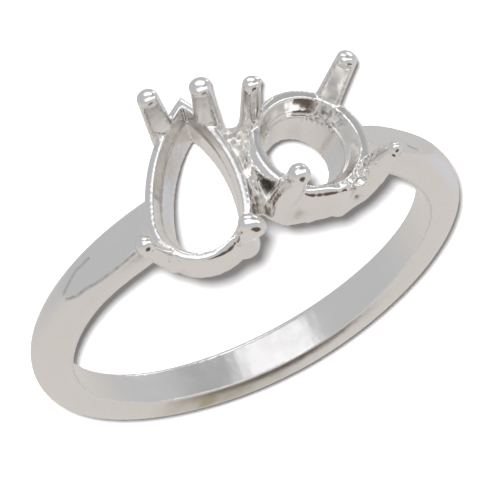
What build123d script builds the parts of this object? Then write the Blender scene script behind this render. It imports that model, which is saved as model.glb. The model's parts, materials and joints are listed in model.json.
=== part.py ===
from build123d import *
import math
import os

# Semi mount ring: one silver casting with a pear head and a round head side by side.
# Millimetres and degrees. The ring is drawn with its finger axis along Y, its heads towards +Z
# and its back towards +Y, then laid on its back as it rests on a table.

finger_radius = 8.65
shank_radius = 1.05
band_reach = finger_radius * 3.5

# Shank stations: angle from the top of the ring, then section radius, sideways shift and height of
# the section's centre above the finger surface, all three in shank radii.
shank_stations = [
    (-20, 1.07, 0.10, 0.65),
    (-54, 1.04, 0.08, 0.62),
    (-88, 0.97, 0.05, 0.59),
    (-124, 0.96, 0.02, 0.60),
    (-160, 0.99, -0.04, 0.64),
    (-195, 1.05, -0.10, 0.66),
    (-230, 1.00, -0.05, 0.65),
    (-265, 0.96, -0.12, 0.63),
    (-300, 0.98, -0.18, 0.66),
    (-333, 0.98, -0.22, 0.65),
]
section_chord = 0.22

# Filed flats on the shoulders: angle of the flat, its height above the finger surface, its backward lean.
left_flat = (-45, shank_radius * 1.333, 0)
right_flat = (46, shank_radius * 1.23, 9)

# Round head, radii and depths below the rim.
round_rim = 2.70
round_land = 0.42
round_ledge = round_rim - 0.78
round_ledge_lip = round_rim - 0.90
round_ledge_depth = 0.62
round_hole = round_rim - 1.28
round_foot = round_rim + 0.04

# Pear head. The outline is one end arc and two equal side arcs, and the walls are parallel curves of it.
pear_half_width = 2.32
pear_point = 5.46
pear_land = 0.36
pear_seat = 0.62
pear_seat_lip = 0.66
pear_seat_depth = 0.72
pear_hole = 1.08
pear_foot = 0.08

# Both rims stand at one height over the finger. Each head has its own plane in the rim: offset to
# the side, extra tilt, shift along the finger, turn within the rim plane.
rim_rise = 2.09
rim_distance = finger_radius + rim_rise
round_stand = (round_rim * 1.009, 1.0, 0.0, 0)
pear_stand = (-pear_half_width * 1.33, 3.1, -pear_point * 0.18, -17.3)
head_depth = rim_distance - math.sqrt(finger_radius**2 - round_foot**2) + rim_rise * 0.25
rim_round = 0.07

# Prongs: radius at foot and tip, depth of the foot and the distance of the tips above the rim.
prong_foot_radius = 0.66
prong_tip_radius = 0.47
prong_cap = prong_tip_radius * 0.60
prong_inner_face = prong_tip_radius * 0.66
prong_foot_depth = rim_rise * 0.95
round_tip_height = 2.30
pear_tip_height = 2.20
round_prong_foot = round_rim - prong_foot_radius * 0.845
round_prong_tip = round_rim + prong_foot_radius * 1.155
pear_prongs = [
    # foot across, foot along, tip across, tip along
    (-pear_half_width * 0.40, pear_point * 0.64, -pear_half_width * 0.513, pear_point * 0.894),
    (pear_half_width * 0.40, pear_point * 0.64, pear_half_width * 0.513, pear_point * 0.894),
    (-pear_half_width * 0.655, -pear_half_width * 0.483, -pear_half_width, -pear_half_width * 0.832),
    (pear_half_width * 0.665, -pear_half_width * 0.505, pear_half_width, -pear_half_width * 0.832),
]

# Root that carries the round head's right front prong down to the finger surface, in the rim plane.
root_foot_radius = prong_foot_radius * 1.28
root_top_radius = prong_tip_radius
root_foot = (round_rim * 0.83, -round_rim * 0.53, -rim_rise * 1.25)
root_top = (round_rim * 0.83, -round_rim * 0.79, round_tip_height * 0.42)

# Bridge that joins the two cups under their rims.
bridge_x = (pear_stand[0] + pear_half_width * 0.75, round_stand[0] - round_rim * 0.6)
bridge_y = (-round_rim * 0.41, round_rim * 0.87)
bridge_drop = 1.0


def head_plane(stand):
    offset, extra_tilt, shift, turn = stand
    place = math.asin(offset / rim_distance)
    tilt = math.degrees(place) + extra_tilt
    across = Vector(math.cos(math.radians(tilt)), 0, -math.sin(math.radians(tilt)))
    out = Vector(math.sin(math.radians(tilt)), 0, math.cos(math.radians(tilt)))
    back = Vector(0, 1, 0)
    x_dir = across * math.cos(math.radians(turn)) + back * math.sin(math.radians(turn))
    centre = Vector(offset, shift, rim_distance * math.cos(place))
    return Plane(origin=centre, x_dir=x_dir, z_dir=out)


def shank_section(station):
    # A round section that stops at a chord just inside the finger surface.
    angle = station[0]
    radius, shift, rise = [value * shank_radius for value in station[1:]]
    centre = finger_radius + rise
    a = math.radians(angle)
    plane = Plane(
        origin=(0, 0, 0),
        x_dir=(0, 1, 0),
        z_dir=(math.cos(a), 0, -math.sin(a)),
    )
    out = plane.y_dir.dot(Vector(math.sin(a), 0, math.cos(a)))
    chord = finger_radius - section_chord - centre
    low = math.sqrt(radius**2 - chord**2)
    start = math.atan2(chord, low)
    spread = (math.pi - 2 * start) / 3
    marks = [start + spread * k / 2 for k in range(7)]

    def at(mark):
        across = shift + radius * math.cos(mark)
        return plane.from_local_coords(Vector(across, out * (centre + radius * math.sin(mark))))

    arcs = [Edge.make_three_point_arc(at(marks[k]), at(marks[k + 1]), at(marks[k + 2])) for k in (0, 2, 4)]
    return Wire([*arcs, Edge.make_line(at(marks[6]), at(marks[0]))])


def shoulder_flat(flat):
    # A block whose lower face files the flat on the shoulder.
    angle, rise, lean = flat
    tall = shank_radius * 2.5
    block = Pos(0, 0, finger_radius + rise + tall / 2) * Box(finger_radius * 1.3, shank_radius * 6, tall)
    return Rot(0, angle, 0) * (Rot(-lean, 0, 0) * block)


def shank():
    band = Solid.make_loft([shank_section(s) for s in shank_stations], ruled=False)
    return band - shoulder_flat(left_flat) - shoulder_flat(right_flat)


def round_cup():
    with BuildSketch(Plane.XZ) as profile:
        with BuildLine():
            Polyline(
                (0, -head_depth),
                (round_foot, -head_depth),
                (round_rim, -rim_round),
                (round_rim - rim_round * 0.3, -rim_round * 0.3),
                (round_rim - rim_round, 0),
                (0, 0),
                close=True,
            )
        make_face()
    return revolve(profile.sketch, Axis.Z)


def round_hollow():
    with BuildSketch(Plane.XZ) as profile:
        with BuildLine():
            Polyline(
                (0, -head_depth - rim_round),
                (round_hole, -head_depth - rim_round),
                (round_hole, -rim_rise - rim_round * 2),
                (round_ledge_lip, -round_ledge_depth - rim_round),
                (round_ledge, -round_ledge_depth),
                (round_rim - round_land, 0),
                (round_rim - round_land, rim_round),
                (0, rim_round),
                close=True,
            )
        make_face()
    return revolve(profile.sketch, Axis.Z)


def pear_face(inset, height):
    # End arc centred on the origin and two side arcs that meet at the point.
    side = (pear_half_width**2 + pear_point**2) / (2 * pear_half_width)
    shift = side - pear_half_width
    end = pear_half_width - inset
    reach = side - inset
    tip = math.sqrt(reach**2 - shift**2)
    half = math.atan2(tip, shift) / 2
    middle = (-shift + reach * math.cos(half), reach * math.sin(half))
    right = Edge.make_three_point_arc((end, 0, 0), (*middle, 0), (0, tip, 0))
    left = Edge.make_three_point_arc((0, tip, 0), (-middle[0], middle[1], 0), (-end, 0, 0))
    round_end = Edge.make_three_point_arc((-end, 0, 0), (0, -end, 0), (end, 0, 0))
    return Pos(0, 0, height) * Face(Wire([right, left, round_end]))


def pear_wall(inset_top, top, inset_low, low):
    return loft([pear_face(inset_low, low), pear_face(inset_top, top)], ruled=True)


def pear_cup():
    wall = pear_wall(0, -rim_round, pear_foot, -head_depth)
    lip = pear_wall(rim_round, 0, 0, -rim_round)
    return wall + lip


def pear_hollow():
    seat = pear_wall(pear_land, 0, pear_seat, -pear_seat_depth)
    opening = pear_wall(pear_land, rim_round, pear_land, 0)
    lower = pear_wall(pear_seat_lip, -pear_seat_depth, pear_hole, -head_depth - rim_round)
    return seat + opening + lower


def prong(foot, tip, foot_depth, tip_height):
    # A tapered peg with a blunt rounded end and a flat face towards the stone.
    start = Vector(foot[0], foot[1], -foot_depth)
    end = Vector(tip[0], tip[1], tip_height)
    axis = end - start
    length = axis.length
    shoulder = length - prong_cap
    with BuildSketch(Plane.XZ) as profile:
        with BuildLine():
            Polyline(
                (0, 0),
                (prong_foot_radius, 0),
                (prong_tip_radius, shoulder),
                (prong_tip_radius * 0.58, length),
                (0, length),
                close=True,
            )
        make_face()
    peg = revolve(profile.sketch, Axis.Z)
    away = Vector(tip[0] - foot[0], tip[1] - foot[1], 0).normalized()
    stand = Plane(origin=start, x_dir=away, z_dir=axis)
    side = prong_foot_radius * 4
    face = Pos(-prong_inner_face - side / 2, 0, length / 2) * Box(side, side, length * 2)
    return stand.location * (peg - face)


def prong_root():
    # A tapered leg that fills the corner between the prong, the cup and the shoulder.
    axis = Vector(*root_top) - Vector(*root_foot)
    return Solid.make_cone(root_foot_radius, root_top_radius, axis.length, Plane(origin=root_foot, z_dir=axis))


def round_prongs():
    near = round_prong_foot / math.sqrt(2)
    far = round_prong_tip / math.sqrt(2)
    corners = [(1, 1), (-1, 1), (-1, -1), (1, -1)]
    return [
        prong((sx * near, sy * near), (sx * far, sy * far), prong_foot_depth, round_tip_height)
        for sx, sy in corners
    ]


def bridge():
    x0, x1 = bridge_x
    y0, y1 = bridge_y
    z0 = finger_radius * 0.95
    z1 = rim_distance - bridge_drop
    return Pos((x0 + x1) / 2, (y0 + y1) / 2, (z0 + z1) / 2) * Box(x1 - x0, y1 - y0, z1 - z0)


def setting():
    round_at = head_plane(round_stand).location
    pear_at = head_plane(pear_stand).location
    body = shank() + round_at * round_cup() + pear_at * pear_cup() + bridge()
    body += round_at * prong_root()
    for peg in round_prongs():
        body += round_at * peg
    for fx, fy, tx, ty in pear_prongs:
        body += pear_at * prong((fx, fy), (tx, ty), prong_foot_depth, pear_tip_height)
    body -= round_at * round_hollow()
    body -= pear_at * pear_hollow()
    body -= Rot(90, 0, 0) * Cylinder(finger_radius, band_reach)
    return body


def narrow(cost, low, high):
    # The argument of the lowest value of a cost that has one valley.
    for _ in range(36):
        third = (high - low) / 3
        if cost(low + third) < cost(high - third):
            high -= third
        else:
            low += third
    return (low + high) / 2


def resting_plane(solid):
    # The ring lies on its back on the plane that touches it in three places round its centre of mass.
    centre = solid.center(CenterOf.MASS)
    marks, _ = solid.tessellate(0.01, 0.2)
    points = [(m.X - centre.X, m.Y - centre.Y, m.Z - centre.Z) for m in marks if m.Y > centre.Y]

    def reach(a, b):
        return max(a * x + y + b * z for x, y, z in points)

    side = narrow(lambda a: reach(a, narrow(lambda b: reach(a, b), -0.6, 0.6)), -0.3, 0.3)
    lean = narrow(lambda b: reach(side, b), -0.6, 0.6)
    up = Vector(-side, -1, -lean).normalized()
    front = Vector(0, 0, 1) - up * up.Z
    return Plane(origin=(0, 0, 0), x_dir=up.cross(front), z_dir=up)


def resting_ring():
    ring = setting()
    return resting_plane(ring).location.inverse() * ring


def main():
    ring = resting_ring()
    os.makedirs("parts", exist_ok=True)
    export_step(ring, "parts/ring_setting.step")


main()
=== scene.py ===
import bpy
import bmesh
import json
import math
from mathutils import Matrix, Vector, noise


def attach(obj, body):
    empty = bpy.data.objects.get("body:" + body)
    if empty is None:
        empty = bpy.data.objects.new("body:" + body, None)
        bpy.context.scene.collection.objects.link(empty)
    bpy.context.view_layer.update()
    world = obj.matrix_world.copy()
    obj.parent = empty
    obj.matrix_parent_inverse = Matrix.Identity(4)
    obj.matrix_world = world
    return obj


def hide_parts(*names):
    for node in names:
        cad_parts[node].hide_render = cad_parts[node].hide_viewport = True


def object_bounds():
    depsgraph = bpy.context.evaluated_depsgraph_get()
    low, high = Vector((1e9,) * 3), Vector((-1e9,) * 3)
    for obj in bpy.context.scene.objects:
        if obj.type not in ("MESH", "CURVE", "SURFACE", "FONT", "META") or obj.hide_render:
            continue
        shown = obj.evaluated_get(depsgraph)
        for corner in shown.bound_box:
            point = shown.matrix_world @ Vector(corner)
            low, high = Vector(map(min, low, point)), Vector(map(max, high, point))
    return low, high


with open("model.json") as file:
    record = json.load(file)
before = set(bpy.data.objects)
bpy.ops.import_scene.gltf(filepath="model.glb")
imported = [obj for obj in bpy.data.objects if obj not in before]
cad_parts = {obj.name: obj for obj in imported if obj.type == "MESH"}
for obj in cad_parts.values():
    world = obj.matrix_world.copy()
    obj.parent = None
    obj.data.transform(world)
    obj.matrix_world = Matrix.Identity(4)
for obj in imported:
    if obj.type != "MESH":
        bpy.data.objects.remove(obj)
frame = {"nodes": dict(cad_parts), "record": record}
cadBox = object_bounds()
mounts = {mount["name"]: mount for mount in frame["record"]["mounts"]}
print("frame loaded")

# the casting is worked in millimetres in the frame's directions: the heads point to -y, up is z


def newObject(name, data):
    thing = bpy.data.objects.new(name, data)
    bpy.context.scene.collection.objects.link(thing)
    return thing


def takeModifiers(thing):
    # applies the modifiers and clears them
    graph = bpy.context.evaluated_depsgraph_get()
    graph.update()
    baked = bpy.data.meshes.new_from_object(thing.evaluated_get(graph))
    thing.modifiers.clear()
    old = thing.data
    thing.data = baked
    bpy.data.meshes.remove(old)


def fade(value, low, high):
    # 0 at the low mark, 1 at the high one, soft between them
    t = min(1.0, max(0.0, (value - low) / (high - low)))
    return t * t * (3 - 2 * t)


def band(value, marks):
    # 0 outside the outer two of four marks, 1 between the inner two
    return fade(value, marks[0], marks[1]) * (1 - fade(value, marks[2], marks[3]))


def within(value, limits):
    return limits[0] < value < limits[1]


def between(marks, at):
    # the numbers of the marks on both sides of a place, mixed softly
    if at <= marks[0][0]:
        return marks[0][1:]
    for low, high in zip(marks, marks[1:]):
        if at <= high[0]:
            t = fade(at, low[0], high[0])
            return [a + (b - a) * t for a, b in zip(low[1:], high[1:])]
    return marks[-1][1:]


# round head, melted in front. Angles run round the rim from across towards along
roundHead = {
    "mount": "round_seat",
    "across": Vector((-0.96218, 0.261141, -0.077562)),
    "rim": 2.70,
    "edge": 0.04,                       # the rim's outer edge lies this far outside it
    "rimRadii": (1.9, 2.9),             # part of the skin that the rim's shaping may move
    "rimHeights": (-1.6, 0.12),
    "prongHeight": 2.30,
    # melted lip: angle, how far it is sunk, radius of its rolled edge, how far it is cut back
    "lip": [
        (236, 0.00, 0.08, 0.00), (240, 0.07, 0.28, 0.00), (247, 0.09, 0.33, 0.05), (254, 0.10, 0.36, 0.10),
        (261, 0.11, 0.36, 0.13), (267, 0.09, 0.32, 0.12), (272, 0.07, 0.24, 0.08), (277, 0.09, 0.26, 0.04),
        (283, 0.03, 0.20, 0.00), (289, 0.08, 0.16, 0.02), (295, 0.05, 0.26, 0.00), (302, 0.06, 0.20, 0.03),
        (310, 0.09, 0.18, 0.00), (318, 0.05, 0.14, 0.00), (326, 0.03, 0.10, 0.00), (334, 0.00, 0.08, 0.00),
    ],
    # lumps on the lip: angle, distance outside the rim, height over it, radius
    "lumps": [
        (284, -0.02, -0.10, 0.16), (289, 0.04, -0.12, 0.19), (294, 0.06, -0.10, 0.17),
        (299, 0.12, -0.14, 0.20), (303, 0.10, 0.02, 0.16), (307, 0.18, -0.04, 0.18),
        (311, 0.16, 0.10, 0.17), (305, 0.26, 0.34, 0.15), (309, 0.12, 0.62, 0.17),
        (313, 0.06, 0.30, 0.16), (317, 0.06, 0.10, 0.17), (322, 0.00, 0.06, 0.16),
        (328, -0.06, 0.00, 0.14), (300, -0.16, -0.02, 0.15), (309, -0.14, 0.04, 0.16),
        (290, -0.22, -0.06, 0.12), (272, -0.14, -0.12, 0.12),
    ],
    # the melted part is rough too: size and height of its grain, and where it lies
    "meltSize": 0.17,
    "meltHeight": 0.050,
    "meltAngles": (270, 286, 320, 334),
    "meltRadii": (2.10, 2.35, 2.95, 3.15),
    "meltFoot": (-0.75, -0.45),
    "meltTop": 1.2,
    "meltBeyond": -8.6,                 # only beyond this y and above this z
    "meltAbove": 2.2,
    # outer edge of the rim's left side, filed down: angles, height, slope, width
    "filedAngles": (100, 112, 224, 236),
    "filedAbove": -0.3,
    "filedSlope": 0.32,
    "filedWidth": 0.17,
}

# pear head: its outline is an end arc round the centre and two side arcs that meet in the point
pearHead = {
    "mount": "pear_seat",
    "across": Vector((-0.937441, -0.176153, 0.30029)),
    "halfWidth": 2.32,
    "point": 5.46,
    "land": 0.36,
    "edge": 0.02,
    "rimRadii": (1.6, 2.45),
    "rimHeights": (-0.9, 0.12),
    "rimAcross": (-2.6, 2.6),
    "rimAlong": (-2.6, 5.8),
    "prongHeight": 2.20,
    # the land slopes outwards: how much, and between which distances from its inner edge and heights
    "rimSlope": 0.22,
    "slopeBand": (-0.1, 0.55),
    "slopeHeights": (-0.40, -0.12),
    # rolled front edge: angle round the end arc, sunk by, radius, cut back
    "lip": [
        (186, 0.0, 0.08, 0), (205, 0.02, 0.16, 0), (232, 0.03, 0.18, 0), (262, 0.04, 0.20, 0),
        (280, 0.04, 0.24, 0), (290, 0.04, 0.38, 0), (298, 0.05, 0.46, 0), (306, 0.05, 0.46, 0),
        (314, 0.03, 0.24, 0), (324, 0.02, 0.14, 0), (345, 0.0, 0.08, 0),
    ],
}

rimsBeyond = -8.0       # the rims lie beyond this y
wallInside = 0.3        # the wall under a cut follows it, from this far inside the edge
wallFoot = -1.5         # and up from this height


def placeHead(head):
    # the rim's centre and the way that the head faces come from the record
    mount = mounts[head["mount"]]
    head["centre"] = Vector([metres * 1000 for metres in mount["pos_m"]])
    head["out"] = Vector(mount["axis"])
    head["along"] = head["out"].cross(head["across"])


placeHead(roundHead)
placeHead(pearHead)


def headPoint(head, x, y, height):
    return head["centre"] + head["across"] * x + head["along"] * y + head["out"] * height


def headSpot(head, point):
    # a point as distance across, along and out of a head
    gap = point - head["centre"]
    return gap.dot(head["across"]), gap.dot(head["along"]), gap.dot(head["out"])


def headAngle(x, y):
    return math.degrees(math.atan2(y, x)) % 360


def pearEdge(x, y):
    # distance outside the pear outline, negative inside it
    half, point = pearHead["halfWidth"], pearHead["point"]
    if y < 0:
        return math.hypot(x, y) - half
    side = (half**2 + point**2) / (2 * half)
    return math.hypot(abs(x) + side - half, y) - side


# the prongs lean outwards: on the round head they stand at the corners of a square
footRadius = 0.66
footCorner = (roundHead["rim"] - 0.845 * footRadius) / math.sqrt(2)
tipCorner = (roundHead["rim"] + 1.155 * footRadius) / math.sqrt(2)
half, point = pearHead["halfWidth"], pearHead["point"]

# prongs: head, foot and tip as distances across and along it, radius of the domed cap, how flat it is
prongs = {
    "roundBackRight": (roundHead, (footCorner, footCorner), (tipCorner, tipCorner), 0.47, 0.60),
    "roundBackLeft": (roundHead, (-footCorner, footCorner), (-tipCorner, tipCorner), 0.47, 0.55),
    "roundFrontLeft": (roundHead, (-footCorner, -footCorner), (-tipCorner, -tipCorner), 0.51, 0.95),
    "roundFrontRight": (roundHead, (footCorner, -footCorner), (tipCorner, -tipCorner), 0.38, 1.00),
    "pearBackLeft": (pearHead, (-0.40 * half, 0.64 * point), (-0.513 * half, 0.894 * point), 0.48, 0.55),
    "pearBackRight": (pearHead, (0.40 * half, 0.64 * point), (0.513 * half, 0.894 * point), 0.52, 0.50),
    "pearFrontLeft": (pearHead, (-0.655 * half, -0.483 * half), (-half, -0.832 * half), 0.42, 0.95),
    "pearFrontRight": (pearHead, (0.665 * half, -0.505 * half), (half, -0.832 * half), 0.47, 0.90),
}
prongFoot = -1.9855     # height of every foot
capSink = 0.95          # share of a cap's height that its middle lies below the tip
domeReach = 1.0         # skin this near to a cap's middle may be pulled on to it

# one prong is filed thinner towards its tip
slimProng = {
    "name": "roundFrontRight",
    "thinner": 0.18,
    "heights": (-1.3, -0.5),
    "reach": 1.6,
    "width": 0.75,
}


def placeProng(head, foot, tip, cap, flat):
    # a prong in the frame, its ends to the nearest thousandth
    foot = Vector([round(value, 3) for value in headPoint(head, *foot, prongFoot)])
    tip = Vector([round(value, 3) for value in headPoint(head, *tip, head["prongHeight"])])
    along = (tip - foot).normalized()
    middle = tip - along * cap * flat * capSink
    return {"tip": tip, "along": along, "cap": cap, "flat": flat, "middle": middle}


pegs = {name: placeProng(*prong) for name, prong in prongs.items()}


def axisTurn(direction):
    return Vector(direction).to_track_quat("Z", "Y").to_matrix().to_4x4()


def addBead(bm, centre, radius, squash=1.0, direction=(0, 0, 1)):
    place = Matrix.Translation(centre) @ axisTurn(direction) @ Matrix.Diagonal((1, 1, squash, 1))
    bmesh.ops.create_uvsphere(bm, u_segments=24, v_segments=14, radius=radius, matrix=place)


def addRod(bm, start, end, startRadius, endRadius):
    start, end = Vector(start), Vector(end)
    place = Matrix.Translation((start + end) / 2) @ axisTurn(end - start)
    bmesh.ops.create_cone(
        bm, cap_ends=True, segments=16, radius1=startRadius, radius2=endRadius,
        depth=(end - start).length, matrix=place,
    )


def addChain(bm, marks):
    # rods from point to point, with a bead at every one
    for (start, startRadius), (end, endRadius) in zip(marks, marks[1:]):
        addRod(bm, start, end, startRadius, endRadius)
    for point, radius in marks:
        addBead(bm, point, radius)


def addCaps(bm):
    for peg in pegs.values():
        addBead(bm, peg["middle"], peg["cap"], peg["flat"], peg["along"])


def addLumps(bm):
    for angle, aside, up, radius in roundHead["lumps"]:
        a, far = math.radians(angle), roundHead["rim"] + aside
        place = (
            roundHead["centre"]
            + roundHead["across"] * far * math.cos(a)
            + roundHead["along"] * far * math.sin(a)
            + roundHead["out"] * up
        )
        addBead(bm, place, radius)


def rub(bm, verts, steps):
    for step in range(steps):
        bmesh.ops.smooth_vert(
            bm, verts=verts, factor=0.5, use_axis_x=True, use_axis_y=True, use_axis_z=True,
        )


def rubSpots(bm, spots):
    # where, reach, steps
    for place, reach, steps in spots:
        rub(bm, [vert for vert in bm.verts if (vert.co - Vector(place)).length < reach], steps)


def lineGap(point, line):
    # distance from a point to a chain of straight runs
    best = math.inf
    for start, end in zip(line, line[1:]):
        run = end - start
        t = min(1.0, max(0.0, (point - start).dot(run) / run.length_squared))
        best = min(best, (point - start - run * t).length)
    return best


def shapeDomes(bm):
    # what stands out of a prong's domed cap is pulled back on to it
    for peg in pegs.values():
        for vert in bm.verts:
            gap = vert.co - peg["middle"]
            if gap.length > domeReach:
                continue
            height = gap.dot(peg["along"])
            if height < 0:
                continue
            aside = gap - peg["along"] * height
            far = math.hypot(aside.length / peg["cap"], height / (peg["cap"] * peg["flat"]))
            if far > 1:
                vert.co = peg["middle"] + gap / far


def shapeSlimProng(bm):
    # thinner round its own middle line
    peg = pegs[slimProng["name"]]
    for vert in bm.verts:
        gap = vert.co - peg["tip"]
        if gap.length > slimProng["reach"]:
            continue
        height = gap.dot(peg["along"])
        aside = gap - peg["along"] * height
        if aside.length > slimProng["width"]:
            continue
        share = 1 - slimProng["thinner"] * fade(height, *slimProng["heights"])
        vert.co = peg["tip"] + peg["along"] * height + aside * share


# right front corner of the round head: a fillet that joins the cup, the root and the prong
corner = {
    "fillet": [
        ((-3.05, -7.64, 3.50), 0.48), ((-3.55, -7.59, 3.30), 0.53), ((-4.22, -7.62, 3.16), 0.54),
        ((-4.64, -8.22, 3.38), 0.48), ((-5.18, -9.62, 3.86), 0.38),
    ],
    # it is rubbed into the walls round this place, below and outside the rim
    "middle": Vector((-4.2, -8.3, 3.9)),
    "reach": 1.9,
    "below": -0.55,
    "outside": 2.3,
    "steps": 40,
    "spots": [((-5.20, -9.45, 4.00), 0.60, 20)],
}


def shapeCorner(bm):
    # the fillet is rubbed into the cup and the root
    def near(vert):
        x, y, height = headSpot(roundHead, vert.co)
        if height >= corner["below"] or math.hypot(x, y) <= corner["outside"]:
            return False
        return (vert.co - corner["middle"]).length < corner["reach"]

    rub(bm, [vert for vert in bm.verts if near(vert)], corner["steps"])
    rubSpots(bm, corner["spots"])


# cast web between the two heads: ribs as points and radii
web = {
    "ribs": [
        # shoulder that runs from the pear's back prong up to the round rim
        [((0.07, -9.84, -0.36), 0.36), ((-0.06, -10.26, -0.12), 0.26), ((-0.20, -10.86, 0.24), 0.18),
         ((-0.46, -11.20, 0.42), 0.15), ((-0.80, -11.22, 0.34), 0.12)],
        # left rib in the valley
        [((0.14, -9.96, 0.10), 0.20), ((0.13, -10.06, 0.62), 0.15), ((0.17, -10.30, 1.25), 0.15),
         ((0.24, -10.20, 1.75), 0.17), ((0.34, -9.94, 2.12), 0.17), ((0.40, -9.70, 2.48), 0.17),
         ((0.38, -9.36, 2.80), 0.18), ((0.26, -8.78, 2.96), 0.19)],
        # middle rib
        [((0.06, -10.62, 1.42), 0.14), ((0.06, -10.46, 1.86), 0.18), ((0.09, -10.18, 2.18), 0.20),
         ((0.12, -9.84, 2.50), 0.19), ((0.15, -9.44, 2.80), 0.17), ((0.09, -8.84, 3.02), 0.18)],
        # two short ribs at the foot of the valley
        [((0.14, -9.72, 2.52), 0.10), ((0.10, -9.58, 2.64), 0.16), ((0.08, -9.16, 2.86), 0.17),
         ((0.06, -8.72, 2.98), 0.17)],
        [((0.02, -9.90, 2.56), 0.08), ((-0.02, -9.66, 2.74), 0.13), ((-0.04, -9.00, 3.02), 0.14)],
        # right rib under the round rim
        [((-0.02, -10.52, 1.05), 0.08), ((-0.01, -10.66, 1.58), 0.13), ((-0.02, -10.58, 2.02), 0.16),
         ((-0.10, -10.46, 2.38), 0.16), ((-0.25, -10.48, 2.72), 0.12), ((-0.42, -10.50, 3.04), 0.09)],
        # two ridges beside the round head's left front prong
        [((-0.50, -11.70, 4.16), 0.10), ((-0.36, -10.68, 3.70), 0.15), ((-0.20, -9.40, 3.20), 0.17),
         ((-0.03, -8.62, 3.10), 0.19)],
        [((-0.58, -11.60, 4.42), 0.08), ((-0.44, -10.72, 4.04), 0.13), ((-0.28, -9.46, 3.56), 0.14),
         ((-0.15, -8.60, 3.28), 0.17)],
    ],
    # skin that is rubbed soft: limits in x and z, beyond a y, and clear of the rims' tops
    "softAcross": (-1.3, 0.95),
    "softUp": (-0.9, 4.7),
    "softBeyond": -8.3,
    "rimTop": -0.14,
    "rimClear": 0.02,
    "softSteps": 5,
    "smoothBelow": 1.30,                # the valley's far part, under this z, is rubbed longer
    "smoothSteps": 34,
    # three-cornered hollow between the ribs: corners, depth, size of the skin that it may move, its edge
    "hollow": [Vector((0.02, -10.06, 2.42)), Vector((-0.50, -10.48, 3.16)), Vector((-0.13, -9.26, 2.97))],
    "hollowDepth": 0.75,
    "hollowReach": 1.2,
    "hollowThick": 0.6,
    "hollowEdge": (-0.02, 0.24),
    # lumpy foot of the valley: where, reach, share of it at full height, size and height of the lumps
    "foot": Vector((0.10, -9.15, 2.80)),
    "footReach": 0.85,
    "footWhole": 0.6,
    "footLumps": 0.30,
    "footHeight": 0.03,
}
web["hollowMiddle"] = sum(web["hollow"], Vector()) / 3


def shapeWeb(bm):
    # the ribs melt into the walls, and both rims keep their edges
    def near(vert):
        point = vert.co
        if not (within(point.x, web["softAcross"]) and within(point.z, web["softUp"])):
            return False
        if point.y >= web["softBeyond"]:
            return False
        x, y, height = headSpot(roundHead, point)
        if height > web["rimTop"] and math.hypot(x, y) < roundHead["rim"] + web["rimClear"]:
            return False
        x, y, height = headSpot(pearHead, point)
        return not (height > web["rimTop"] and pearEdge(x, y) < web["rimClear"])

    chosen = [vert for vert in bm.verts if near(vert)]
    rub(bm, chosen, web["softSteps"])
    rub(bm, [vert for vert in chosen if vert.co.z < web["smoothBelow"]], web["smoothSteps"])


def shapeHollow(bm):
    # sunk along the normal of its three corners, steep at its sides
    corners, middle = web["hollow"], web["hollowMiddle"]
    out = (corners[1] - corners[0]).cross(corners[2] - corners[0]).normalized()
    if out.z < 0:
        out.negate()
    sides = []
    for start, end in zip(corners, corners[1:] + corners[:1]):
        inward = out.cross(end - start).normalized()
        if inward.dot(middle - start) < 0:
            inward.negate()
        sides.append((start, inward))
    for vert in bm.verts:
        gap = vert.co - middle
        if gap.length > web["hollowReach"] or abs(gap.dot(out)) > web["hollowThick"]:
            continue
        inside = min((vert.co - start).dot(inward) for start, inward in sides)
        vert.co -= out * web["hollowDepth"] * fade(inside, *web["hollowEdge"])


def shapeFoot(bm):
    # fine lumps where the ribs run out
    reach = web["footReach"]
    for vert in bm.verts:
        gap = (vert.co - web["foot"]).length
        if gap < reach:
            share = 1 - fade(gap, web["footWhole"] * reach, reach)
            vert.co += vert.normal * web["footHeight"] * share * noise.noise(vert.co / web["footLumps"])


def rollEdge(out, height, edge, sunk, radius):
    # a point of a rim's section, pulled on to a rolled edge: distance from the middle and height
    across, up = edge - radius, -sunk - radius
    if out < across:
        return out, min(height, up + radius)
    gap = math.hypot(out - across, height - up)
    if height < up or gap < radius:
        return out, height
    return across + (out - across) * radius / gap, up + (height - up) * radius / gap


def rolled(head, vert, spot, edge):
    # where a vertex lies once the edge of its rim is rolled, sunk and cut back
    x, y, height = spot
    radius = math.hypot(x, y)
    sunk, roll, cut = between(head["lip"], headAngle(x, y))
    newRadius, newHeight = rollEdge(radius, height, edge - cut, sunk, roll)
    if cut > 0 and radius > edge - wallInside and height <= -sunk - roll:
        newRadius -= cut * fade(height, wallFoot, -sunk - roll)
    flat = (vert.co - head["centre"] - head["out"] * height) / radius
    return head["centre"] + flat * newRadius + head["out"] * newHeight


def shapeRoundRim(vert, spot):
    # rolled where it melted, filed on the left
    x, y, height = spot
    angle = headAngle(x, y)
    if roundHead["lip"][0][0] < angle < roundHead["lip"][-1][0]:
        vert.co = rolled(roundHead, vert, spot, roundHead["rim"] + roundHead["edge"])
    elif height > roundHead["filedAbove"]:
        over = max(0.0, math.hypot(x, y) - roundHead["rim"] + roundHead["filedWidth"])
        vert.co -= roundHead["out"] * roundHead["filedSlope"] * over * band(angle, roundHead["filedAngles"])


def shapePearRim(vert, spot):
    # sloping land, and a rolled edge round the end arc
    x, y, height = spot
    out = pearEdge(x, y) + pearHead["land"]
    if within(out, pearHead["slopeBand"]):
        drop = pearHead["rimSlope"] * max(0.0, out) * fade(height, *pearHead["slopeHeights"])
        vert.co -= pearHead["out"] * drop
        height -= drop
    if y < 0 and within(math.hypot(x, y), pearHead["rimRadii"]):
        vert.co = rolled(pearHead, vert, (x, y, height), pearHead["halfWidth"] + pearHead["edge"])


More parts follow.
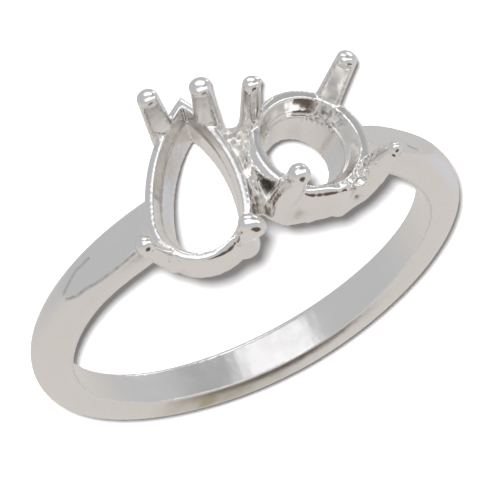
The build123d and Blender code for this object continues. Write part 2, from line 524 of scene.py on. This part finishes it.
def shapeRims(bm):
    for vert in bm.verts:
        if vert.co.y > rimsBeyond:
            continue
        x, y, height = spot = headSpot(roundHead, vert.co)
        if within(height, roundHead["rimHeights"]) and within(math.hypot(x, y), roundHead["rimRadii"]):
            shapeRoundRim(vert, spot)
            continue
        x, y, height = spot = headSpot(pearHead, vert.co)
        if not within(height, pearHead["rimHeights"]):
            continue
        if within(x, pearHead["rimAcross"]) and within(y, pearHead["rimAlong"]):
            shapePearRim(vert, spot)


def shapeMelt(bm):
    # rough grain on the melted lip and its lumps
    for vert in bm.verts:
        if vert.co.y > roundHead["meltBeyond"] or vert.co.z < roundHead["meltAbove"]:
            continue
        x, y, height = headSpot(roundHead, vert.co)
        if height >= roundHead["meltTop"]:
            continue
        share = band(headAngle(x, y), roundHead["meltAngles"])
        share *= band(math.hypot(x, y), roundHead["meltRadii"]) * fade(height, *roundHead["meltFoot"])
        if share > 0:
            grain = noise.noise(vert.co / roundHead["meltSize"])
            vert.co += vert.normal * roundHead["meltHeight"] * share * grain


# small pushes that bring the lower walls to the photo's outline: place, reach and shift
pushes = {
    "walls": [
        ((1.50, -11.30, 5.78), 1.10, (-0.30, 0.01, 0.13)),       # pear head, right side of the front wall
        ((1.20, -9.25, 5.05), 1.20, (0.13, -0.14, -0.24)),       # and its lower corner
        ((-0.30, -8.30, 3.30), 1.60, (0.03, 0.00, 0.34)),        # round cup, from its lower left corner
        ((-1.25, -8.20, 3.72), 1.30, (0.00, 0.00, 0.10)),        # along its lower edge
        ((-2.85, -7.90, 3.85), 1.20, (0.00, 0.00, 0.13)),
    ],
    "whole": 0.15,                       # share of the reach that moves by the whole shift
    # the pushed walls are rubbed smooth again: where, reach, steps
    "spots": [
        ((-2.60, -8.10, 4.00), 0.85, 22),
        ((-1.21, -8.75, 3.98), 0.80, 26),
        ((-4.06, -7.66, 3.44), 0.45, 14),
        ((-4.57, -9.69, 4.06), 0.35, 14),
        ((1.25, -10.30, 5.50), 0.80, 24),
    ],
}


def shapePushes(bm):
    for place, reach, shift in pushes["walls"]:
        place, shift = Vector(place), Vector(shift)
        for vert in bm.verts:
            gap = (vert.co - place).length
            if gap < reach:
                vert.co += shift * (1 - fade(gap, pushes["whole"] * reach, reach))
    rubSpots(bm, pushes["spots"])


# creases beside the filed flats of the shoulders, as chains of points
creases = {
    "lines": [
        [(5.89, -7.88, 2.33), (6.44, -7.42, 2.28), (7.04, -6.88, 2.16), (7.62, -6.32, 1.99),
         (8.10, -5.87, 1.78), (8.48, -5.48, 1.71), (8.87, -5.10, 1.40)],
        [(7.52, -6.65, 0.87), (8.15, -6.02, 0.81), (8.57, -5.56, 0.98), (8.91, -5.18, 1.15)],
        [(-7.50, -6.69, 1.19), (-7.74, -6.45, 1.24), (-7.96, -6.24, 1.28)],
    ],
    "reach": 2.6,                        # every line lies within this of its middle
    "flatBottom": 0.02,
    "halfWidth": 0.10,
    "depth": 0.035,
}
creases["lines"] = [[Vector(mark) for mark in line] for line in creases["lines"]]


def creaseShare(point, line):
    # 1 in the bottom of a crease, 0 beside it
    if (point - (line[0] + line[-1]) / 2).length > creases["reach"]:
        return 0.0
    return 1 - fade(lineGap(point, line), creases["flatBottom"], creases["halfWidth"])


def shapeCreases(bm):
    for line in creases["lines"]:
        for vert in bm.verts:
            share = creaseShare(vert.co, line)
            if share > 0:
                vert.co -= vert.normal * creases["depth"] * share


# polish, tarnish and painted shade of the casting: pairs are limits or marks to fade between, fours the
# marks of a band
finish = {
    "headsBeyond": -6.5,
    # prongs, by height over the tip: polished tips over duller legs
    "prongReach": 3.2,
    "prongWidth": 1.0,
    "tipPolish": (-1.2, -0.5),
    "legPolish": (-3.0, -2.2),
    "legShine": 0.45,
    # patchy grey film on the back prongs, whose tips lie under this z
    "backBelow": 1.0,
    "film": 0.22,
    "filmPatch": 0.16,
    "filmNoise": (-0.05, 0.35),
    "filmHeights": (-3.0, -2.4, -0.75, -0.45),
    # round head: polished down to the seat, duller at the right and left of the seat and where it melted
    "roundRadius": 3.0,
    "roundDepth": -1.9,
    "roundPolish": (-1.5, -0.9),
    "roundOutside": (2.70, 2.86),
    "seatEdge": (2.25, 2.45),
    "seatDull": 0.55,
    "dullRight": (30, 60),
    "dullLeft": (98, 112, 150, 172),
    "meltDull": 0.35,
    "meltAngles": (276, 288, 322, 334),
    # pits in the right side of its seat
    "pits": 0.8,
    "pitSize": 0.10,
    "pitNoise": (0.02, 0.30),
    "pitAngles": (8, 22, 58, 74),
    "pitFoot": (-0.95, -0.7),
    # pear head: polished, with tarnish down the left side of its seat
    "pearAcross": (-2.8, 2.8),
    "pearAlong": (-2.8, 5.9),
    "pearHeights": (-2.6, 0.4),
    "pearPolish": (-2.0, -0.9),
    "pearOutside": (0.02, 0.14),
    "pearShine": 0.9,
    "pearLeft": 0.4,
    "pearTarnish": 0.14,
    "pearSeat": (-0.40, -0.25),
    "pearDepths": (-2.1, -1.5, -0.45, -0.2),
    # web: shiny ribs, duller in the far part and at the foot, and a hollow painted near black as shade
    "webAcross": (-1.2, 0.9),
    "webUp": (-1.2, 4.8),
    "ribWidth": (0.25, 0.6),
    "farShine": 0.25,
    "ribUp": (0.6, 1.5),
    "footGap": (0.2, 0.9),
    "grimeAndShade": 0.95,
    "shadeGap": (0.30, 0.62),
    "shadeClear": (0.15, 0.24),
    # inside of the band
    "boreRadius": 8.75,
    "boreShine": 0.42,
    "boreTurn": (0.15, 0.40),
    # painted shade along the creases of the shoulders
    "creaseShade": 0.55,
}
fingerAxis = Vector(mounts["finger_bore"]["axis"])


def prongFinish(point, peg):
    gap = point - peg["tip"]
    if gap.length >= finish["prongReach"]:
        return 0.0, 0.0
    height = gap.dot(peg["along"])
    if (gap - peg["along"] * height).length >= finish["prongWidth"]:
        return 0.0, 0.0
    leg = finish["legShine"] * fade(height, *finish["legPolish"])
    bright = max(fade(height, *finish["tipPolish"]), leg)
    if peg["tip"].z >= finish["backBelow"]:
        return bright, 0.0
    patch = fade(noise.noise(point / finish["filmPatch"]), *finish["filmNoise"])
    return bright, finish["film"] * patch * band(height, finish["filmHeights"])


def roundFinish(point):
    x, y, height = headSpot(roundHead, point)
    radius, angle = math.hypot(x, y), headAngle(x, y)
    if radius >= finish["roundRadius"] or height <= finish["roundDepth"]:
        return 0.0, 0.0
    bright = fade(height, *finish["roundPolish"]) * (1 - fade(radius, *finish["roundOutside"]))
    seat = 1 - fade(radius, *finish["seatEdge"])
    right = 1 - fade(min(angle, 360 - angle), *finish["dullRight"])
    left = band(angle, finish["dullLeft"])
    bright *= 1 - finish["seatDull"] * seat * max(right, left)
    bright *= 1 - finish["meltDull"] * band(angle, finish["meltAngles"])
    pits = fade(noise.noise(point / finish["pitSize"]), *finish["pitNoise"])
    pits *= band(angle, finish["pitAngles"]) * seat * fade(height, *finish["pitFoot"])
    return bright, finish["pits"] * pits


def pearFinish(point):
    x, y, height = headSpot(pearHead, point)
    if not (within(x, finish["pearAcross"]) and within(y, finish["pearAlong"])):
        return 0.0, 0.0
    if not within(height, finish["pearHeights"]):
        return 0.0, 0.0
    out = pearEdge(x, y)
    bright = fade(height, *finish["pearPolish"]) * (1 - fade(out, *finish["pearOutside"]))
    bright *= finish["pearShine"]
    if x >= finish["pearLeft"]:
        return bright, 0.0
    seat = 1 - fade(out, *finish["pearSeat"])
    return bright, finish["pearTarnish"] * seat * band(height, finish["pearDepths"])


def webFinish(point, ribs):
    if not (within(point.x, finish["webAcross"]) and within(point.z, finish["webUp"])):
        return 0.0, 0.0
    near = min(lineGap(point, rib) for rib in ribs)
    bright = 1 - fade(near, *finish["ribWidth"])
    bright *= finish["farShine"] + (1 - finish["farShine"]) * fade(point.z, *finish["ribUp"])
    bright *= fade((point - web["foot"]).length, *finish["footGap"])
    # the hollow is painted near black, as painted shade
    paintedShade = 1 - fade((point - web["hollowMiddle"]).length, *finish["shadeGap"])
    return bright, finish["grimeAndShade"] * paintedShade * fade(near, *finish["shadeClear"])


def boreFinish(point, normal):
    # the inside of the band is half polished, where its skin faces the finger
    if (point - fingerAxis * point.dot(fingerAxis)).length >= finish["boreRadius"]:
        return 0.0, 0.0
    turned = fade(abs(normal.dot(fingerAxis)), *finish["boreTurn"])
    return finish["boreShine"] * (1 - turned), 0.0


def markFinish(mesh):
    # polish, and tarnish with the painted shade of the creases and the hollow, of every point are attributes
    # that the silver reads
    ribs = [[Vector(point) for point, radius in rib] for rib in web["ribs"]]
    polishes, tarnishesAndShades = [], []
    for vert in mesh.vertices:
        point = vert.co
        found = [boreFinish(point, vert.normal)]
        # the creases get painted shade, carried in the tarnish attribute
        found += [(0.0, finish["creaseShade"] * creaseShare(point, line)) for line in creases["lines"]]
        if point.y < finish["headsBeyond"]:
            found += [prongFinish(point, peg) for peg in pegs.values()]
            found += [roundFinish(point), pearFinish(point), webFinish(point, ribs)]
        polishes.append(max(bright for bright, dirtAndShade in found))
        tarnishesAndShades.append(max(dirtAndShade for bright, dirtAndShade in found))
    for name, values in (("polish", polishes), ("tarnishAndShade", tarnishesAndShades)):
        mesh.attributes.new(name, "FLOAT", "POINT").data.foreach_set("value", values)


# ring casting
ringCast = {
    "weld": 0.002,         # mm, doubles of the solid's faces that are merged
    "voxel": 0.066,        # mm, grain of the wax-soft skin
    "softSteps": 3,
    "softFactor": 0.5,
    "faceShare": 0.52,     # share of the skin's faces that is kept
}


def skinRing():
    # one skin over the solid and what is added to it
    bm = bmesh.new()
    bm.from_mesh(frame["nodes"]["ring_setting"].data)
    bmesh.ops.scale(bm, vec=(1000, 1000, 1000), verts=bm.verts)
    bmesh.ops.remove_doubles(bm, verts=bm.verts, dist=ringCast["weld"])
    bmesh.ops.recalc_face_normals(bm, faces=bm.faces)
    addCaps(bm)
    for marks in web["ribs"] + [corner["fillet"]]:
        addChain(bm, marks)
    addLumps(bm)
    mesh = bpy.data.meshes.new("ringRaw")
    bm.to_mesh(mesh)
    bm.free()
    ring = newObject("ring_casting", mesh)
    skin = ring.modifiers.new("skin", "REMESH")
    skin.mode = "VOXEL"
    skin.voxel_size = ringCast["voxel"]
    skin.use_smooth_shade = True
    soft = ring.modifiers.new("soft", "SMOOTH")
    soft.factor = ringCast["softFactor"]
    soft.iterations = ringCast["softSteps"]
    takeModifiers(ring)
    print("skin made")
    return ring


def shapeRing(mesh):
    bm = bmesh.new()
    bm.from_mesh(mesh)
    shapeDomes(bm)
    shapeSlimProng(bm)
    shapeCorner(bm)
    shapeWeb(bm)
    shapeRims(bm)
    shapeHollow(bm)
    shapePushes(bm)
    bm.normal_update()
    shapeMelt(bm)
    shapeFoot(bm)
    bm.normal_update()
    shapeCreases(bm)
    bm.to_mesh(mesh)
    bm.free()
    print("casting shaped")


def buildRing():
    ring = skinRing()
    shapeRing(ring.data)
    fewer = ring.modifiers.new("fewer", "DECIMATE")
    fewer.ratio = ringCast["faceShare"]
    takeModifiers(ring)
    markFinish(ring.data)
    bm = bmesh.new()
    bm.from_mesh(ring.data)
    bmesh.ops.scale(bm, vec=(0.001, 0.001, 0.001), verts=bm.verts)      # back to metres
    for face in bm.faces:
        face.smooth = True
    bm.to_mesh(ring.data)
    bm.free()
    print("ring casting", sum(len(face.vertices) - 2 for face in ring.data.polygons), "triangles")
    return ring


def linked(tree, value, socket):
    # a number, a colour or another node's output put into a socket
    if isinstance(value, bpy.types.NodeSocket):
        tree.links.new(value, socket)
    else:
        socket.default_value = value


def ranged(tree, value, fromMin, fromMax, toMin=0.0, toMax=1.0, kind="SMOOTHSTEP"):
    node = tree.nodes.new("ShaderNodeMapRange")
    node.interpolation_type = kind
    for name, number in (("From Min", fromMin), ("From Max", fromMax), ("To Min", toMin), ("To Max", toMax)):
        node.inputs[name].default_value = number
    linked(tree, value, node.inputs["Value"])
    return node.outputs["Result"]


def reckoned(tree, operation, first, second):
    node = tree.nodes.new("ShaderNodeMath")
    node.operation = operation
    linked(tree, first, node.inputs[0])
    linked(tree, second, node.inputs[1])
    return node.outputs["Value"]


def mixed(tree, amount, first, second):
    node = tree.nodes.new("ShaderNodeMix")
    node.data_type = "RGBA"
    linked(tree, amount, node.inputs["Factor"])
    linked(tree, first, node.inputs[6])
    linked(tree, second, node.inputs[7])
    return node.outputs[2]


# silver
silverLook = {
    "colour": (0.90, 0.885, 0.865, 1),
    # dark colour of the tarnish, and of the painted shade in the hollow and the creases
    "grimeAndShade": (0.115, 0.105, 0.085, 1),
    # stains on the back of the shank: colour, amount, place and reach in metres
    "stains": [
        ((0.56, 0.545, 0.46, 1), 0.95, (0.0010, 0.0091, 0.0000), (0.0056, 0.0022, 0.00085)),
        ((0.50, 0.44, 0.20, 1), 0.55, (0.0020, 0.0089, -0.0003), (0.0007, 0.0006, 0.0004)),
    ],
    "stainEdge": (1.0, 0.25),        # from the edge of a stain to its full tone, in shares of its reach
    "stainDimples": (0.30, 0.62),
    "stainLeast": 0.75,
    "grimeAndShadeGrain": (0.34, 0.62),
    "grimeAndShadeLeast": 0.55,
    "satinRough": 0.27,
    "polishRough": 0.085,
    "roughSwing": 0.05,
    "roughDimples": (0.3, 0.7),
    "tarnishAndShadeRough": 0.25,
    "stainRough": 0.16,
    "leastRough": 0.05,
    "grainScale": 4300,
    "grainDetail": 3,
    "dimpleScale": 1100,
    "dimpleDetail": 2,
    "grainDepth": 0.0006,      # mm
    "dimpleDepth": 0.011,
    "polishedGrain": 0.35,     # share of the grain that the polish leaves
}


def silverMaterial():
    material = bpy.data.materials.new("cast_silver")
    material.use_nodes = True
    tree = material.node_tree
    shader = tree.nodes["Principled BSDF"]
    shader.inputs["Metallic"].default_value = 1
    place = tree.nodes.new("ShaderNodeTexCoord").outputs["Object"]

    def speckle(scale, detail):
        node = tree.nodes.new("ShaderNodeTexNoise")
        node.inputs["Scale"].default_value = scale
        node.inputs["Detail"].default_value = detail
        tree.links.new(place, node.inputs["Vector"])
        return node.outputs["Fac"]

    def mark(name):
        node = tree.nodes.new("ShaderNodeAttribute")
        node.attribute_name = name
        return node.outputs["Fac"]

    def blob(centre, reach):
        # 1 in the middle of an ellipsoid, 0 at its edge
        mapping = tree.nodes.new("ShaderNodeMapping")
        mapping.vector_type = "TEXTURE"
        mapping.inputs["Location"].default_value = centre
        mapping.inputs["Scale"].default_value = reach
        tree.links.new(place, mapping.inputs["Vector"])
        length = tree.nodes.new("ShaderNodeVectorMath")
        length.operation = "LENGTH"
        tree.links.new(mapping.outputs["Vector"], length.inputs[0])
        return ranged(tree, length.outputs["Value"], *silverLook["stainEdge"])

    polish = mark("polish")
    tarnishAndShade = mark("tarnishAndShade")
    dimples = speckle(silverLook["dimpleScale"], silverLook["dimpleDetail"])
    grain = speckle(silverLook["grainScale"], silverLook["grainDetail"])

    # colour: silver, faint straw stains on the back of the shank, dark tarnish, and painted shade in the
    # hollow and the creases
    colour = silverLook["colour"]
    stained = 0.0
    for tone, amount, centre, reach in silverLook["stains"]:
        least = amount * silverLook["stainLeast"]
        patchy = ranged(tree, dimples, *silverLook["stainDimples"], least, amount)
        spot = reckoned(tree, "MULTIPLY", blob(centre, reach), patchy)
        colour = mixed(tree, spot, colour, tone)
        stained = reckoned(tree, "ADD", spot, stained)
    # the dark colour paints tarnish, and painted shade in the hollow and the creases
    patchy = ranged(tree, grain, *silverLook["grimeAndShadeGrain"], 1.0, silverLook["grimeAndShadeLeast"])
    grimeAndShade = reckoned(tree, "MULTIPLY", tarnishAndShade, patchy)
    tree.links.new(mixed(tree, grimeAndShade, colour, silverLook["grimeAndShade"]), shader.inputs["Base Color"])

    # roughness: satin shank, polished rims, seats and tips, uneven, duller where stained, tarnished and
    # painted with shade
    swing = silverLook["roughSwing"]
    rough = ranged(tree, polish, 0, 1, silverLook["satinRough"], silverLook["polishRough"], "LINEAR")
    uneven = ranged(tree, dimples, *silverLook["roughDimples"], -swing, swing, "LINEAR")
    rough = reckoned(tree, "ADD", rough, uneven)
    for dulling, share in ((tarnishAndShade, silverLook["tarnishAndShadeRough"]), (stained, silverLook["stainRough"])):
        rough = reckoned(tree, "ADD", rough, reckoned(tree, "MULTIPLY", dulling, share))
    rough = reckoned(tree, "MAXIMUM", rough, silverLook["leastRough"])
    tree.links.new(rough, shader.inputs["Roughness"])

    # relief: cast dimples and a fine grain
    depth = silverLook["grainDepth"]
    fine = ranged(tree, polish, 0, 1, depth, depth * silverLook["polishedGrain"])
    fine = reckoned(tree, "MULTIPLY", grain, fine)
    coarse = reckoned(tree, "MULTIPLY", dimples, silverLook["dimpleDepth"])
    bump = tree.nodes.new("ShaderNodeBump")
    bump.inputs["Strength"].default_value = 1
    bump.inputs["Distance"].default_value = 0.001        # depths are in millimetres
    tree.links.new(reckoned(tree, "ADD", coarse, fine), bump.inputs["Height"])
    tree.links.new(bump.outputs["Normal"], shader.inputs["Normal"])
    return material


ring = buildRing()
ring.data.materials.clear()
ring.data.materials.append(silverMaterial())
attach(ring, "root")
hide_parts("ring_setting")
print("silver ready")


# table, lights and camera
studio = {
    "tableSize": 1.2,
    "tableColour": (0.44, 0.44, 0.445, 1),
    "coolSide": (0.53, 0.54, 0.56, 1),
    "warmSide": (0.67, 0.64, 0.615, 1),
    "warmTowards": (-0.1, 0.8, 0.55),
    "warmFade": (-0.45, 0.45),
    # soft patches of the tent: where they are seen, half width and fade in degrees, and their light
    "patches": [
        ((-0.10, 0.05, 0.99), 17, 33, (0.125, 0.092, 0.074, 1)),     # open top of the tent
        ((-0.50, -0.80, -0.30), 6, 22, (0.43, 0.43, 0.44, 1)),       # dimmer wall beside the window
        ((0.418, -0.897, -0.139), 5, 13, (1.10, 1.10, 1.14, 1)),     # window, three panes side by side
        ((0.207, -0.968, -0.139), 5, 13, (1.10, 1.10, 1.14, 1)),
        ((-0.02, -0.990, -0.139), 3, 17, (1.10, 1.10, 1.14, 1)),
        ((0.42, -0.89, 0.16), 7, 15, (1.5, 1.5, 1.5, 1)),            # strip of the ceiling light
        ((0.17, -0.97, 0.16), 7, 15, (1.5, 1.5, 1.5, 1)),
        ((-0.10, -0.98, 0.16), 7, 15, (1.5, 1.5, 1.5, 1)),
        ((-0.36, -0.92, 0.15), 7, 14, (1.5, 1.5, 1.5, 1)),
        ((-0.60, -0.78, 0.13), 6, 13, (1.5, 1.5, 1.5, 1)),
        ((-0.79, -0.60, 0.11), 6, 13, (1.5, 1.5, 1.5, 1)),
        ((-0.29, -0.73, -0.62), 7, 16, (1.4, 1.4, 1.4, 1)),          # bright table, seen in the caps
        ((-0.03, -0.67, -0.74), 7, 16, (1.4, 1.4, 1.4, 1)),
        ((-0.74, -0.22, -0.64), 6, 14, (1.4, 1.4, 1.4, 1)),
        ((-0.787, 0.615, -0.05), 6, 22, (0.66, 0.68, 0.74, 1)),      # pale wall, seen in the pear
    ],
    "keyFrom": (0.1138, -0.4130, 0.2571),
    "keySize": 0.030,
    "keyWatts": 13.5,
}


def buildTable():
    bm = bmesh.new()
    bmesh.ops.create_grid(bm, x_segments=1, y_segments=1, size=studio["tableSize"] / 2)
    bmesh.ops.translate(bm, vec=(0, 0, cadBox[0][2]), verts=bm.verts)
    mesh = bpy.data.meshes.new("table")
    bm.to_mesh(mesh)
    bm.free()
    table = newObject("table", mesh)
    material = bpy.data.materials.new("pale_table")
    material.use_nodes = True
    shader = material.node_tree.nodes["Principled BSDF"]
    shader.inputs["Base Color"].default_value = studio["tableColour"]
    shader.inputs["Roughness"].default_value = 0.8
    shader.inputs["Specular IOR Level"].default_value = 0.2
    mesh.materials.append(material)
    table.visible_glossy = False          # the silver mirrors the tent, not the table


def buildKey():
    light = bpy.data.lights.new("key", "AREA")
    light.shape = "DISK"
    light.size = studio["keySize"]
    light.energy = studio["keyWatts"]
    lamp = newObject("key", light)
    lamp.location = studio["keyFrom"]
    lamp.rotation_euler = (-Vector(studio["keyFrom"])).to_track_quat("-Z", "Y").to_euler()
    lamp.visible_glossy = False           # the tent has its own light for the silver


def buildTent():
    # a light tent: two soft tones and a few soft patches, all by direction
    world = bpy.data.worlds.new("light_tent")
    world.use_nodes = True
    tree = world.node_tree
    where = tree.nodes.new("ShaderNodeTexCoord").outputs["Generated"]

    def facing(direction, low, high):
        dot = tree.nodes.new("ShaderNodeVectorMath")
        dot.operation = "DOT_PRODUCT"
        dot.inputs[1].default_value = Vector(direction).normalized()
        tree.links.new(where, dot.inputs[0])
        return ranged(tree, dot.outputs["Value"], low, high)

    warm = facing(studio["warmTowards"], *studio["warmFade"])
    light = mixed(tree, warm, studio["coolSide"], studio["warmSide"])
    for direction, inner, outer, tone in studio["patches"]:
        amount = facing(direction, math.cos(math.radians(outer)), math.cos(math.radians(inner)))
        light = mixed(tree, amount, light, tone)
    tree.links.new(light, tree.nodes["Background"].inputs["Color"])
    bpy.context.scene.world = world


# the camera stands where the photo was taken from: its place in metres and its three directions
photoCamera = {
    "place": (0.084011, -0.322740, 0.220307),
    "right": (-0.91628, 0.03326, 0.39915),
    "up": (-0.34005, -0.59116, -0.73137),
    "back": (0.21164, -0.80587, 0.55298),
    "lens": 653.27,
}


def buildCamera():
    data = bpy.data.cameras.new("photo_camera")
    data.sensor_width = 36
    data.sensor_fit = "HORIZONTAL"
    data.lens = photoCamera["lens"]
    data.clip_start = 0.01
    data.clip_end = 10
    camera = newObject("photo_camera", data)
    turn = Matrix((photoCamera["right"], photoCamera["up"], photoCamera["back"])).transposed()
    camera.matrix_world = Matrix.Translation(photoCamera["place"]) @ turn.to_4x4()
    bpy.context.scene.camera = camera


buildTable()
buildKey()
buildTent()
buildCamera()
bpy.context.scene.view_settings.view_transform = "Standard"
print("studio ready")
